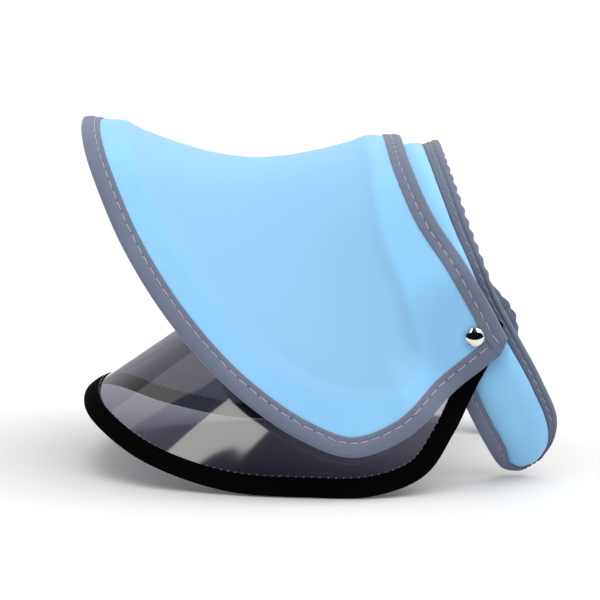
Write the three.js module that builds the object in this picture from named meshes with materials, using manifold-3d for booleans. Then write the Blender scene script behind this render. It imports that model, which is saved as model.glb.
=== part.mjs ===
// A sun visor that clips round the head: a padded spring head band, a wide fabric brim and a smoked drop-down
// lens, both hinged to the band by one rivet at each temple.
//
// Millimetres, +Z up. -Y is the wearer's front and +X the wearer's left; X = 0 is the plane of symmetry. The
// visor stands on the sides of its lens and the ends of its band. The numbers below are in a working frame,
// and the last lines move the whole visor so that it stands on Z = 0 with its box centred over the origin.
//
// Every soft piece is a layer of a ruled sheet between two edge curves. A sheet's u runs from the left end
// over the crest to the right end, and its v from the first edge (0) to the second (1). An inset is measured
// square to its edge, along the sheet, and an offset along the sheet's normal, away from the head.
import * as THREE from 'three';
import { mergeVertices } from 'three/addons/utils/BufferGeometryUtils.js';
import Module from 'manifold-3d';

const wasm = await Module();
wasm.setup();

// ---------------------------------------------------------------- driving dimensions

const PIVOT_Y = 84; // the rivets' common axis, parallel to X
const PIVOT_Z = 76;

const BRIM_EAR_X = 85.9; // the sheets' own surfaces where the rivet passes through them
const LENS_EAR_X = 80.2;
const BAND_EAR_X = 73.8;
const EAR_FLAT_R = 19; // round the rivet the sheets lie flat, square to its axis
const EAR_FADE_R = 46; // and have their own shape again by this radius

const TAPE_WIDTH = 9.5; // a binding tape, folded over an edge
const TAPE_WALL = 0.8;
const EDGE_INSET = 1.6; // a sheet's raw edge inside the fold of its tape
const END_SETBACK = 0.003; // the sheets' raw ends stand this share of u inside their tapes'
const MITRE_GAP = 0.5; // half the gap where two tapes meet at an ear
const FOLD_DEPTH = 0.7; // a fold's inside stays within this share of its tape's width at an ear
const FOLD_FLAT = 0.45; // the flat part of a fold's outside, as a share of the tape's face
const LEAST_SLANT = 0.6; // an inset is never stretched more than this sine allows

const BRIM_FACE = 1.3; // the brim fabric's outside from the sheet's surface
const FABRIC = 0.7;
const STIFFENER = 0.8;
const BRIM_TAPE_FACE = 2.65;

const WINDOW_END = 0.115; // the window in the brim's stiffener runs from this u to its mirror
const WINDOW_ROUNDING = 0.1; // and its ends are rounded over this much more
const WINDOW_END_HEIGHT = 0.35; // an end's height before the rounding, as a share of the window's
const WINDOW_FULL = 0.42; // by this u the window has its crest margins
const WINDOW_LEAST = 0.05; // least share of the fabric between the tapes on either side of the window
const WINDOW_MIDDLE = 0.45; // and each side of the window stays this share away from the other tape
const WINDOW_HEAD_MARGIN = 8; // stiffener beside the head binding at the crest
const WINDOW_TEMPLE_MARGIN = 22; // and at the temples
const WINDOW_RIM_MARGIN = 12; // and beside the rim binding
const WINDOW_SAG = 14; // the fabric dips this far into the window at the crest
const SAG_POWER = 1.6; // how slowly the dip grows from the window's ends

const LENS_FILM = 0.7;
const LENS_TAPE_FACE = 1.5;

const BAND_FACE = 1.3; // the band fabric's outside where it enters its tapes
const BAND_TAPE_FACE = 2.4;
const BAND_PUFF = 3.2; // the padding swells the band's outside by this much more
const PUFF_FLAT_R = 10; // and is pressed flat round the rivet
const PUFF_FULL_R = 24;
const PUFF_END = 0.06; // and over this share of u at the band's ends
const FOAM_FROM_RIVET = 14; // the pads stop this far from the rivets, along the band
const SPRING = 0.8;
const LAYER_GAP = 0.2; // between neighbouring layers

const GATHER_FROM = 0.175; // the gathered tuck at each temple starts at this u
const GATHER_SPAN = 0.07; // and is this long, in u
const GATHER_DEPTH = 4.8; // it stands this far behind the rear binding
const GATHER_HELD = 4; // and is sewn in this far
const GATHER_FOLDS = 4;
const STEPS_PER_FOLD = 4;
const GATHER_WAVE = 0.4;
const GATHER_OFFSET = -3.4; // its middle lies inside the rear binding
const GATHER_TAPER = 0.05; // its ends are cut off this share of the way into its rounded outline

const RIVET_CAP_R = 4.5;
const RIVET_CAP_H = 2.3;
const RIVET_CAP_EDGE = 0.25; // the height of the cap's straight edge, as a share of the cap's
const RIVET_COLLAR_R = 3.4;
const RIVET_SHANK_R = 1.5;
const RIVET_HOLE_R = 2;
const RIVET_BACK_R = 4.5;
const RIVET_BACK_H = 0.8;
const SPACER_R = 3.6;
const CLEARANCE = 0.3; // between pieces that press together
const ROUND_SEGMENTS = 16;
const DOME_STEPS = 5;
const DRILL_LENGTH = 40;

const BRIM_STATIONS = 38;
const LENS_STATIONS = 36;
const EAR_STATIONS = 8; // of them in each ear of the brim and the lens
const LENS_EAR_END = 0.11; // a lens ear's share of u
const WINDOW_COLUMNS = 4; // across the window
const BAND_STATIONS = 32;

// Edge curves, each from the left end to the crest, as [x, y, z].
const BRIM_HEAD_EDGE = [
  [85, 100, 75], [84, 92, 90], [79, 79.5, 111], [67, 65.5, 132], [45, 56, 154], [0, 52.5, 167.5],
];
const BRIM_RIM_EDGE = [
  [85.5, 96, 66], [95, 73, 48], [104, 50, 29], [111, 25, 21.5], [111, 0, 30], [106, -32, 52],
  [96, -61.5, 83], [80, -85.3, 117.7], [56, -103.3, 154.5], [29, -110.5, 171], [0, -112.5, 177.3],
];
const LENS_HEAD_EDGE = [
  [80.5, 98.4, 81], [80, 90, 89.5], [77.5, 72, 95], [72.5, 47, 97.5], [61, 18, 100], [38, -5, 102], [0, -14, 101.5],
];
const LENS_RIM_EDGE = [
  [80.5, 98.5, 72], [81.5, 92, 61.5], [90.5, 74, 29], [99, 60, 10.5], [105, 36, 1.8], [104, 4, 0.8],
  [97, -37, 2.6], [82, -77.2, 14], [55, -104.1, 29], [0, -112.5, 35],
];
const BAND_REAR_EDGE = [
  [55.5, 121, 10.5], [57.5, 126, 19], [63, 127.5, 32], [70.5, 119, 52], [75.5, 105, 77.5],
  [75, 96.5, 93], [70.5, 90, 109], [61, 83.5, 127], [48, 78.5, 143], [27, 74, 158], [0, 72.3, 165.3],
];
const BAND_FRONT_EDGE = [
  [54, 107.5, 1.6], [56.5, 100, 6.5], [63, 93, 17], [71.5, 81, 40], [75.4, 73.5, 57], [75.4, 67, 75],
  [71, 58, 96], [62, 50, 116], [49, 43, 134], [28, 38, 148.5], [0, 36, 154.5],
];

// ---------------------------------------------------------------- materials

const material = (color, roughness, metalness = 0, opacity = 1) =>
  new THREE.MeshStandardMaterial({ color, roughness, metalness, opacity, transparent: opacity < 1 });

const BLUE_KNIT = material(0x8fcdf2, 0.85);
const GREY_TAPE = material(0x83859f, 0.8);
const BLACK_TAPE = material(0x0c0c0e, 0.85);
const DARK_LINING = material(0x17181c, 0.9);
const SMOKED_FILM = material(0x3a3a44, 0.08, 0, 0.45);
const PLASTIC_BOARD = material(0xe8ecef, 0.5);
const SPONGE = material(0xf1efe6, 0.95);
const SPRING_PLASTIC = material(0xd9dde2, 0.45);
const NICKEL = material(0xd8d2c6, 0.15, 1);
const NYLON = material(0xeef0f0, 0.5);

// ---------------------------------------------------------------- sheets

const mix = THREE.MathUtils.lerp;
const smoothstep = THREE.MathUtils.smoothstep;
const TINY_STEP = 1e-3; // for slopes taken by differences
const WELD = 1e-5; // points closer than this are one point

// A smooth curve through a half outline and its mirror image.
function mirroredCurve(half) {
  const mirrored = half.slice(0, -1).reverse().map(([x, y, z]) => [-x, y, z]);
  const points = [...half, ...mirrored].map((p) => new THREE.Vector3(...p));
  return new THREE.CatmullRomCurve3(points, false, 'centripetal');
}

class Sheet {
  constructor(firstEdge, secondEdge, earX) {
    this.first = mirroredCurve(firstEdge);
    this.second = mirroredCurve(secondEdge);
    this.earX = earX;
  }

  // A point of the sheet. The right half mirrors the left one exactly.
  point(u, v) {
    if (u > 0.5) {
      const left = this.point(1 - u, v);
      return left.setX(-left.x);
    }
    const p = this.first.getPointAt(u).lerp(this.second.getPointAt(u), v);
    const fromPivot = Math.hypot(p.y - PIVOT_Y, p.z - PIVOT_Z);
    const own = smoothstep(fromPivot, EAR_FLAT_R, EAR_FADE_R);
    return p.setX(mix(this.earX, p.x, own));
  }

  // The direction in which u grows.
  along(u, v) {
    const before = Math.max(0, u - TINY_STEP);
    const after = Math.min(1, u + TINY_STEP);
    return this.point(after, v).sub(this.point(before, v)).normalize();
  }

  // The unit normal, away from the wearer's head.
  normal(u, v) {
    const across = this.point(u, v + TINY_STEP).sub(this.point(u, v - TINY_STEP));
    return this.along(u, v).cross(across).normalize();
  }

  at(u, v, offset) {
    return this.point(u, v).addScaledVector(this.normal(u, v), offset);
  }

  rulingLength(u) {
    return this.point(u, 0).distanceTo(this.point(u, 1));
  }

  // The v at an inset from the first edge (0) or the second (1).
  inset(u, edge, distance) {
    const ruling = this.point(u, 1).sub(this.point(u, 0)).normalize();
    const slant = Math.max(LEAST_SLANT, this.along(u, edge).cross(ruling).length());
    const share = distance / slant / this.rulingLength(u);
    return edge === 0 ? share : 1 - share;
  }

  // The v of a tape's inner border: its width in, or less at an ear, where it meets the other edge's tape.
  tapeBorder(u, edge) {
    const mitre = MITRE_GAP / this.rulingLength(u);
    const border = this.inset(u, edge, TAPE_WIDTH);
    return edge === 0 ? Math.min(border, 0.5 - mitre) : Math.max(border, 0.5 + mitre);
  }
}

const brim = new Sheet(BRIM_HEAD_EDGE, BRIM_RIM_EDGE, BRIM_EAR_X);
const lens = new Sheet(LENS_HEAD_EDGE, LENS_RIM_EDGE, LENS_EAR_X);
const band = new Sheet(BAND_REAR_EDGE, BAND_FRONT_EDGE, BAND_EAR_X);

const clamp = THREE.MathUtils.clamp;
const steps = (count, from = 0, to = 1) => Array.from({ length: count + 1 }, (_, i) => mix(from, to, i / count));

// ---------------------------------------------------------------- solids on a sheet

function solid(positions, index) {
  const geometry = new THREE.BufferGeometry();
  geometry.setAttribute('position', new THREE.Float32BufferAttribute(positions.flatMap((p) => [p.x, p.y, p.z]), 3));
  geometry.setIndex(index);
  return geometry;
}

// A layer over a grid of rows (u) and columns (v), between its top and bottom offsets. Cells that isOpen names
// are left out, which makes a window with walls of its own.
function layer(sheet, us, vsAt, topAt, bottomAt, isOpen = () => false) {
  const rows = us.length;
  const columns = vsAt(us[0]).length;
  const grid = us.flatMap((u) => vsAt(u).map((v) => [u, v]));
  const tops = grid.map(([u, v]) => sheet.at(u, v, topAt(u, v)));
  const bottoms = grid.map(([u, v]) => sheet.at(u, v, bottomAt(u, v)));
  const index = [];
  const quad = (a, b, c, d) => index.push(a, b, c, a, c, d);
  const top = (row, column) => row * columns + column;
  const bottom = (row, column) => top(row, column) + grid.length;
  const filled = (row, column) =>
    row >= 0 && row < rows - 1 && column >= 0 && column < columns - 1 && !isOpen(row, column);
  const wall = (r0, c0, r1, c1) => quad(top(r0, c0), bottom(r0, c0), bottom(r1, c1), top(r1, c1));
  for (let r = 0; r < rows - 1; r += 1) {
    for (let c = 0; c < columns - 1; c += 1) {
      if (!filled(r, c)) continue;
      quad(top(r, c), top(r + 1, c), top(r + 1, c + 1), top(r, c + 1));
      quad(bottom(r, c), bottom(r, c + 1), bottom(r + 1, c + 1), bottom(r + 1, c));
      if (!filled(r, c - 1)) wall(r, c, r + 1, c);
      if (!filled(r, c + 1)) wall(r + 1, c + 1, r, c + 1);
      if (!filled(r - 1, c)) wall(r, c + 1, r, c);
      if (!filled(r + 1, c)) wall(r + 1, c, r + 1, c + 1);
    }
  }
  return mergeVertices(solid([...tops, ...bottoms], index), WELD);
}

// A tape folded over an edge of a sheet, its outside at +face and -face from the sheet's surface.
function foldedTape(sheet, edge, us, face) {
  const sections = us.map((u) => {
    const border = sheet.tapeBorder(u, edge);
    const depth = (distance) => {
      const v = sheet.inset(u, edge, distance);
      return edge === 0 ? Math.min(v, border * FOLD_DEPTH) : Math.max(v, 1 - (1 - border) * FOLD_DEPTH);
    };
    const shoulder = depth(TAPE_WALL);
    const cavity = depth(TAPE_WALL + LAYER_GAP);
    const inner = face - TAPE_WALL;
    const outline = [
      [border, face], [shoulder, face], [edge, face * FOLD_FLAT], [edge, -face * FOLD_FLAT], [shoulder, -face],
      [border, -face], [border, -inner], [cavity, -inner], [cavity, inner], [border, inner],
    ];
    return edge === 0 ? outline.reverse() : outline;
  });
  const size = sections[0].length;
  const positions = sections.flatMap((outline, i) => outline.map(([v, offset]) => sheet.at(us[i], v, offset)));
  const index = [];
  for (let i = 0; i + 1 < us.length; i += 1) {
    for (let k = 0; k < size; k += 1) {
      const after = (k + 1) % size;
      const here = i * size + k;
      const next = i * size + after;
      // The same diagonal as in a layer's quads, from the lower u and v to the higher.
      if (sections[i][k][0] <= sections[i][after][0]) {
        index.push(here, here + size, next + size, here, next + size, next);
      } else {
        index.push(here, here + size, next, here + size, next + size, next);
      }
    }
  }
  const flat = sections[0].map(([v, offset]) => new THREE.Vector2(v, offset * TINY_STEP));
  const clockwise = THREE.ShapeUtils.isClockWise(flat);
  const end = positions.length - size;
  for (const [a, b, c] of THREE.ShapeUtils.triangulateShape(flat, [])) {
    const faceClockwise = THREE.ShapeUtils.isClockWise([flat[a], flat[b], flat[c]]);
    const [first, second] = faceClockwise === clockwise ? [b, c] : [c, b];
    index.push(a, first, second);
    index.push(end + a, end + second, end + first);
  }
  return solid(positions, index);
}

// ---------------------------------------------------------------- booleans

function toManifold(geometry) {
  const bare = geometry.clone();
  bare.deleteAttribute('normal');
  bare.deleteAttribute('uv');
  const merged = mergeVertices(bare, WELD);
  return new wasm.Manifold(new wasm.Mesh({
    numProp: 3,
    vertProperties: new Float32Array(merged.attributes.position.array),
    triVerts: new Uint32Array(merged.index.array),
  }));
}

function fromManifold(manifold) {
  const mesh = manifold.getMesh();
  const geometry = new THREE.BufferGeometry();
  geometry.setAttribute('position', new THREE.BufferAttribute(new Float32Array(mesh.vertProperties), 3));
  geometry.setIndex(new THREE.BufferAttribute(new Uint32Array(mesh.triVerts), 1));
  return geometry;
}

// The rivet's hole through a piece at both temples.
function punched(geometry) {
  let piece = toManifold(geometry);
  for (const side of [1, -1]) {
    const drill = new THREE.CylinderGeometry(RIVET_HOLE_R, RIVET_HOLE_R, DRILL_LENGTH, ROUND_SEGMENTS);
    drill.rotateZ(Math.PI / 2).translate(side * LENS_EAR_X, PIVOT_Y, PIVOT_Z);
    piece = piece.subtract(toManifold(drill));
  }
  return fromManifold(piece);
}

// ---------------------------------------------------------------- the brim

// The layers of a sheet share their stations, so that they stay parallel. A tape runs from u = 0 to 1.
const setBack = (us) => us.map((u) => clamp(u, END_SETBACK, 1 - END_SETBACK));

// Stations from end to end, closer together in the ears.
const stations = (count, earEnd) => [
  ...steps(EAR_STATIONS, 0, earEnd).slice(0, -1),
  ...steps(count - 2 * EAR_STATIONS, earEnd, 1 - earEnd),
  ...steps(EAR_STATIONS, 1 - earEnd, 1).slice(1),
];

const BRIM_US = stations(BRIM_STATIONS, WINDOW_END);

// The v of the two sides of the stiffener's window. Beyond its ends they only say where the layers' columns go.
function windowSides(u) {
  const fromEnd = Math.min(u, 1 - u);
  const margin = mix(WINDOW_TEMPLE_MARGIN, WINDOW_HEAD_MARGIN, smoothstep(fromEnd, WINDOW_END, WINDOW_FULL));
  const head = brim.inset(u, 0, TAPE_WIDTH + margin);
  const rim = brim.inset(u, 1, TAPE_WIDTH + WINDOW_RIM_MARGIN);
  const run = clamp((fromEnd - WINDOW_END) / WINDOW_ROUNDING, 0, 1);
  const open = mix(WINDOW_END_HEIGHT, 1, Math.sqrt(1 - (1 - run) ** 2));
  const middle = mix(head, rim, 0.5);
  const from = brim.tapeBorder(u, 0);
  const to = brim.tapeBorder(u, 1);
  return [
    clamp(mix(middle, head, open), mix(from, to, WINDOW_LEAST), mix(from, to, WINDOW_MIDDLE)),
    clamp(mix(middle, rim, open), mix(to, from, WINDOW_MIDDLE), mix(to, from, WINDOW_LEAST)),
  ];
}

// The dip of the fabric where the stiffener doesn't back it.
function sag(u, v) {
  const [head, rim] = windowSides(u);
  if (v <= head || v >= rim) return 0;
  const run = clamp((Math.min(u, 1 - u) - WINDOW_END) / (0.5 - WINDOW_END), 0, 1);
  return WINDOW_SAG * Math.sin((Math.PI / 2) * run) ** SAG_POWER * Math.sin((Math.PI * (v - head)) / (rim - head));
}

function brimColumns(u) {
  return [
    brim.inset(u, 0, EDGE_INSET), brim.tapeBorder(u, 0), ...steps(WINDOW_COLUMNS, ...windowSides(u)),
    brim.tapeBorder(u, 1), brim.inset(u, 1, EDGE_INSET),
  ];
}

function brimFabric(outside) {
  return punched(layer(brim, setBack(BRIM_US), brimColumns,
    (u, v) => outside - sag(u, v), (u, v) => outside - FABRIC - sag(u, v)));
}

function brimStiffener() {
  const isOpen = (row, column) =>
    row >= EAR_STATIONS && row < BRIM_STATIONS - EAR_STATIONS && column >= 2 && column < 2 + WINDOW_COLUMNS;
  return punched(layer(brim, setBack(BRIM_US), brimColumns,
    () => STIFFENER / 2, () => -STIFFENER / 2, isOpen));
}

// ---------------------------------------------------------------- the lens

const LENS_US = stations(LENS_STATIONS, LENS_EAR_END);

function lensFilm() {
  const columns = (u) => [
    lens.inset(u, 0, EDGE_INSET), ...steps(3, lens.tapeBorder(u, 0), lens.tapeBorder(u, 1)),
    lens.inset(u, 1, EDGE_INSET),
  ];
  return punched(layer(lens, setBack(LENS_US), columns, () => LENS_FILM / 2, () => -LENS_FILM / 2));
}

// ---------------------------------------------------------------- the head band

// The padding's swell: none at the band's tapes, its ends and the rivets, and BAND_PUFF along the middle.
function puff(u, v) {
  const from = band.tapeBorder(u, 0);
  const to = band.tapeBorder(u, 1);
  const across = Math.sin(Math.PI * clamp((v - from) / (to - from), 0, 1));
  const p = band.point(u, v);
  const free = smoothstep(Math.hypot(p.y - PIVOT_Y, p.z - PIVOT_Z), PUFF_FLAT_R, PUFF_FULL_R);
  return BAND_PUFF * Math.sqrt(across) * free * smoothstep(Math.min(u, 1 - u), 0, PUFF_END);
}

const BAND_US = steps(BAND_STATIONS);
const PADDED_COLUMNS = 6; // between the band's tapes

const paddedColumns = (u) => steps(PADDED_COLUMNS, band.tapeBorder(u, 0), band.tapeBorder(u, 1));

const bandColumns = (u) => [band.inset(u, 0, EDGE_INSET), ...paddedColumns(u), band.inset(u, 1, EDGE_INSET)];

function bandCover() {
  return punched(layer(band, setBack(BAND_US), bandColumns,
    (u, v) => BAND_FACE + puff(u, v), (u, v) => BAND_FACE - FABRIC + puff(u, v)));
}

function bandLining() {
  const columns = (u) => {
    const all = bandColumns(u);
    return [all[0], all[1], all[1 + PADDED_COLUMNS / 2], all[1 + PADDED_COLUMNS], all[2 + PADDED_COLUMNS]];
  };
  return punched(layer(band, setBack(BAND_US), columns, () => FABRIC - BAND_FACE, () => -BAND_FACE));
}

function foamPad(us) {
  const bottom = SPRING / 2 + LAYER_GAP;
  return layer(band, us, (u) => paddedColumns(u).slice(1, -1),
    (u, v) => BAND_FACE - FABRIC - LAYER_GAP + puff(u, v), () => bottom);
}

function bandSpring() {
  const columns = (u) => paddedColumns(u).slice(1, -1).filter((_, i) => i % 2 === 0);
  return punched(layer(band, BAND_US.slice(1, -1), columns, () => SPRING / 2, () => -SPRING / 2));
}

// A short gathered tuck of tape that stands out behind the rear binding at a temple.
function gather(from) {
  const us = steps(GATHER_FOLDS * STEPS_PER_FOLD, from, from + GATHER_SPAN);
  const run = (u) => (u - from) / GATHER_SPAN;
  const columns = (u) => {
    const depth = GATHER_DEPTH * Math.sqrt(Math.sin(Math.PI * mix(GATHER_TAPER, 1 - GATHER_TAPER, run(u))));
    return steps(3, band.inset(u, 0, -depth), band.inset(u, 0, GATHER_HELD));
  };
  const middle = (u) => GATHER_OFFSET + GATHER_WAVE * Math.cos(2 * Math.PI * GATHER_FOLDS * run(u));
  return layer(band, us, columns, (u) => middle(u) + TAPE_WALL / 2, (u) => middle(u) - TAPE_WALL / 2);
}

// ---------------------------------------------------------------- the rivets and their spacers

// A turned piece about the rivets' axis: its profile is [radius, x], from its inner face to its outer.
function turned(profile) {
  const lathe = new THREE.LatheGeometry(profile.map(([r, x]) => new THREE.Vector2(r, x)), ROUND_SEGMENTS);
  return lathe.rotateZ(-Math.PI / 2).translate(0, PIVOT_Y, PIVOT_Z);
}

const BRIM_OUTSIDE = BRIM_EAR_X + BRIM_FACE;
const BAND_INSIDE = BAND_EAR_X - BAND_FACE;

// The domed cap stands clear of the brim's tapes, on a collar that presses the fabric.
function rivet() {
  const base = BRIM_EAR_X + BRIM_TAPE_FACE + CLEARANCE;
  const dome = steps(DOME_STEPS).map((t) => {
    const angle = (Math.PI / 2) * t;
    return [RIVET_CAP_R * Math.cos(angle), base + RIVET_CAP_H * mix(RIVET_CAP_EDGE, 1, Math.sin(angle))];
  });
  dome[dome.length - 1][0] = 0;
  return turned([
    [0, BAND_INSIDE], [RIVET_SHANK_R, BAND_INSIDE], [RIVET_SHANK_R, BRIM_OUTSIDE + CLEARANCE],
    [RIVET_COLLAR_R, BRIM_OUTSIDE + CLEARANCE], [RIVET_COLLAR_R, base], [RIVET_CAP_R, base], ...dome,
  ]);
}

function disc(radius, from, to) {
  return turned([[0, from], [radius, from], [radius, to], [0, to]]);
}

function spacer(from, to) {
  const bore = RIVET_HOLE_R;
  return turned([[bore, from], [SPACER_R, from], [SPACER_R, to], [bore, to], [bore, from]]);
}

// ---------------------------------------------------------------- the whole visor

const visor = new THREE.Group();

function add(name, geometry, finish) {
  const mesh = new THREE.Mesh(geometry, finish.clone());
  mesh.name = name;
  visor.add(mesh);
  return mesh;
}

add('brim_cover', brimFabric(BRIM_FACE), BLUE_KNIT);
add('brim_stiffener', brimStiffener(), PLASTIC_BOARD);
add('brim_lining', brimFabric(FABRIC - BRIM_FACE), DARK_LINING);
add('brim_head_binding', foldedTape(brim, 0, BRIM_US, BRIM_TAPE_FACE), GREY_TAPE);
add('brim_rim_binding', foldedTape(brim, 1, BRIM_US, BRIM_TAPE_FACE), GREY_TAPE);

add('lens_film', lensFilm(), SMOKED_FILM);
add('lens_head_binding', foldedTape(lens, 0, LENS_US, LENS_TAPE_FACE), BLACK_TAPE);
add('lens_rim_binding', foldedTape(lens, 1, LENS_US, LENS_TAPE_FACE), BLACK_TAPE);

add('band_cover', bandCover(), BLUE_KNIT);
// The stations whose middles lie beyond the clear ring round the rivets, above their axis or below it.
const bandHeight = (u) => band.point(u, 0.5).z - PIVOT_Z;
add('foam_crest_pad', foamPad(BAND_US.filter((u) => bandHeight(u) > FOAM_FROM_RIVET)), SPONGE);
const endStations = BAND_US.slice(1, -1).filter((u) => bandHeight(u) < -FOAM_FROM_RIVET);
add('foam_end_pad_left', foamPad(endStations.filter((u) => u < 0.5)), SPONGE);
add('foam_end_pad_right', foamPad(endStations.filter((u) => u > 0.5)), SPONGE);
add('band_spring', bandSpring(), SPRING_PLASTIC);
add('band_lining', bandLining(), DARK_LINING);
add('band_rear_binding', foldedTape(band, 0, BAND_US, BAND_TAPE_FACE), GREY_TAPE);
add('band_front_binding', foldedTape(band, 1, BAND_US, BAND_TAPE_FACE), GREY_TAPE);
add('rear_gather_left', gather(GATHER_FROM), GREY_TAPE);
add('rear_gather_right', gather(1 - GATHER_FROM - GATHER_SPAN), GREY_TAPE);

for (const [side, turn] of [['left', 0], ['right', Math.PI]]) {
  const pieces = [
    add(`rivet_${side}`, rivet(), NICKEL),
    add(`rivet_back_${side}`,
      disc(RIVET_BACK_R, BAND_INSIDE - CLEARANCE - RIVET_BACK_H, BAND_INSIDE - CLEARANCE), NICKEL),
    add(`outer_spacer_${side}`,
      spacer(LENS_EAR_X + LENS_FILM / 2 + CLEARANCE, BRIM_EAR_X - BRIM_FACE - CLEARANCE), NYLON),
    add(`inner_spacer_${side}`,
      spacer(BAND_EAR_X + BAND_FACE + CLEARANCE, LENS_EAR_X - LENS_FILM / 2 - CLEARANCE), NYLON),
  ];
  for (const piece of pieces) {
    piece.geometry.translate(0, -PIVOT_Y, 0).rotateZ(turn).translate(0, PIVOT_Y, 0);
  }
}

const box = new THREE.Box3().setFromObject(visor, true);
const centre = box.getCenter(new THREE.Vector3());
visor.position.set(-centre.x, -centre.y, -box.min.z);

export default visor;
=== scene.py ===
import math

import bmesh
import bpy
import numpy as np
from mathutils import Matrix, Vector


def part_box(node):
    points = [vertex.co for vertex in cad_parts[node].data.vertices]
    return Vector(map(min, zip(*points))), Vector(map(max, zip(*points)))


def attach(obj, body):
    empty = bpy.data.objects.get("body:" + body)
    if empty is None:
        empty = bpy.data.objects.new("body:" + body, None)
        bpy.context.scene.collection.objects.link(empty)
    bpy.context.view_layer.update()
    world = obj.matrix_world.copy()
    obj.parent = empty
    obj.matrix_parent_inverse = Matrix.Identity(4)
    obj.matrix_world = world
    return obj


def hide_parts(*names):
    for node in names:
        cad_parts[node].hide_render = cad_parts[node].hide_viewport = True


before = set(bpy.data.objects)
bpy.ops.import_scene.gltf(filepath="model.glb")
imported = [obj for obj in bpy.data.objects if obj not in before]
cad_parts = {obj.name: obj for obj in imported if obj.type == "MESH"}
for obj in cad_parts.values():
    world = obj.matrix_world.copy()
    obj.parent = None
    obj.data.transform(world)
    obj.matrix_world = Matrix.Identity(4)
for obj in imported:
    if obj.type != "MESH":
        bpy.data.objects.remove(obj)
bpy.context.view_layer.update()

PIVOT_Y, PIVOT_Z = 84.0, 76.0
EAR_FLAT_R, EAR_FADE_R = 19.0, 46.0
MM = 0.001
SLOPE_STEP = 1e-3

# Layers, in millimetres: a face is the height of an outer surface over the sheet.
BRIM_FACE = 1.3
FABRIC = 0.7
BOARD_FACE = 0.4
EDGE_INSET = 1.6
TAPE_WIDTH = 9.5
TAPE_WALL = 0.65
TAPE_FOLD = 1.3
TAPE_SWELL = 0.3
GROOVE_REACH = 0.75
PUCKER_REACH = 2.4
THREAD_SIDES, LATHE_SIDES = 6, 48
HOLE_RADIUS = 0.34

rng = np.random.default_rng(7)


# ---------------------------------------------------------------- edge curves and sheets

def smoothstep(x, low, high):
    t = np.clip((x - low) / (high - low), 0, 1)
    return t * t * (3 - 2 * t)


def unit(a):
    return a / np.maximum(np.linalg.norm(a, axis=-1, keepdims=True), 1e-12)


class Edge:
    """A centripetal Catmull-Rom curve through a half outline and its mirror image, by its share of length."""

    PER_SPAN = 160

    def __init__(self, half):
        half = np.array(half, float)
        mirrored = half[-2::-1] * [-1, 1, 1]
        pts = np.vstack([half, mirrored])
        pts = np.vstack([2 * pts[0] - pts[1], pts, 2 * pts[-1] - pts[-2]])
        t = np.linspace(0, 1, self.PER_SPAN, endpoint=False)[:, None]
        spans = [self.span(*pts[i:i + 4], t) for i in range(len(pts) - 3)]
        self.p = np.vstack([*spans, pts[-2:-1]])
        run = np.concatenate([[0], np.cumsum(np.linalg.norm(np.diff(self.p, axis=0), axis=1))])
        self.share = run / run[-1]

    @staticmethod
    def span(a, b, c, d, t):
        ab, bc, cd = (np.sqrt(np.linalg.norm(q - p)) for p, q in ((a, b), (b, c), (c, d)))
        m1 = ((b - a) / ab - (c - a) / (ab + bc) + (c - b) / bc) * bc
        m2 = ((c - b) / bc - (d - b) / (bc + cd) + (d - c) / cd) * bc
        return b + m1 * t + (3 * (c - b) - 2 * m1 - m2) * t ** 2 + (2 * (b - c) + m1 + m2) * t ** 3

    def at(self, u):
        return np.stack([np.interp(u, self.share, self.p[:, k]) for k in range(3)], -1)


class Sheet:
    """A ruled surface between two edges, drawn in to the plane x = ear_x round the rivets."""

    LEAST_SLANT = 0.6

    def __init__(self, first, second, ear_x):
        self.first, self.second, self.ear_x = Edge(first), Edge(second), ear_x

    def ruled(self, u, v):
        left = np.minimum(u, 1 - u)
        p = self.first.at(left) * (1 - v)[..., None] + self.second.at(left) * v[..., None]
        from_pivot = np.hypot(p[..., 1] - PIVOT_Y, p[..., 2] - PIVOT_Z)
        own = smoothstep(from_pivot, EAR_FLAT_R, EAR_FADE_R)
        x = self.ear_x + (p[..., 0] - self.ear_x) * own
        p[..., 0] = np.where(u > 0.5, -x, x)
        return p

    def point(self, u, v):
        """A point of the sheet; beyond its ends it carries straight on."""
        u, v = np.broadcast_arrays(np.asarray(u, float), np.asarray(v, float))
        inside = np.clip(u, 0, 1)
        back = np.where(inside < 0.5, SLOPE_STEP, -SLOPE_STEP)
        p = self.ruled(inside, v)
        slope = (self.ruled(inside + back, v) - p) / back[..., None]
        return p + slope * (u - inside)[..., None]

    def slopes(self, u, v):
        e = SLOPE_STEP
        return ((self.point(u + e, v) - self.point(u - e, v)) / (2 * e),
                (self.point(u, v + e) - self.point(u, v - e)) / (2 * e))

    def normal(self, u, v):
        return unit(np.cross(*self.slopes(u, v)))

    def at(self, u, v, height):
        return self.point(u, v) + self.normal(u, v) * np.asarray(height)[..., None]

    def inset(self, u, edge, distance):
        """The v at a distance in from the first (0) or second (1) edge."""
        u = np.asarray(u, float)
        ruling = self.point(u, 1.0) - self.point(u, 0.0)
        length = np.linalg.norm(ruling, axis=-1)
        along = unit(self.slopes(u, np.full_like(u, edge))[0])
        slant = np.maximum(self.LEAST_SLANT, np.linalg.norm(np.cross(along, unit(ruling)), axis=-1))
        share = distance / slant / length
        return share if edge == 0 else 1 - share

    def border(self, u, edge, width=TAPE_WIDTH, gap=0.5):
        """The v of a tape's inner border, which stops short of the other tape at an ear."""
        length = np.linalg.norm(self.point(u, 1.0) - self.point(u, 0.0), axis=-1)
        v = self.inset(u, edge, width)
        return np.minimum(v, 0.5 - gap / length) if edge == 0 else np.maximum(v, 0.5 + gap / length)


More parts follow.
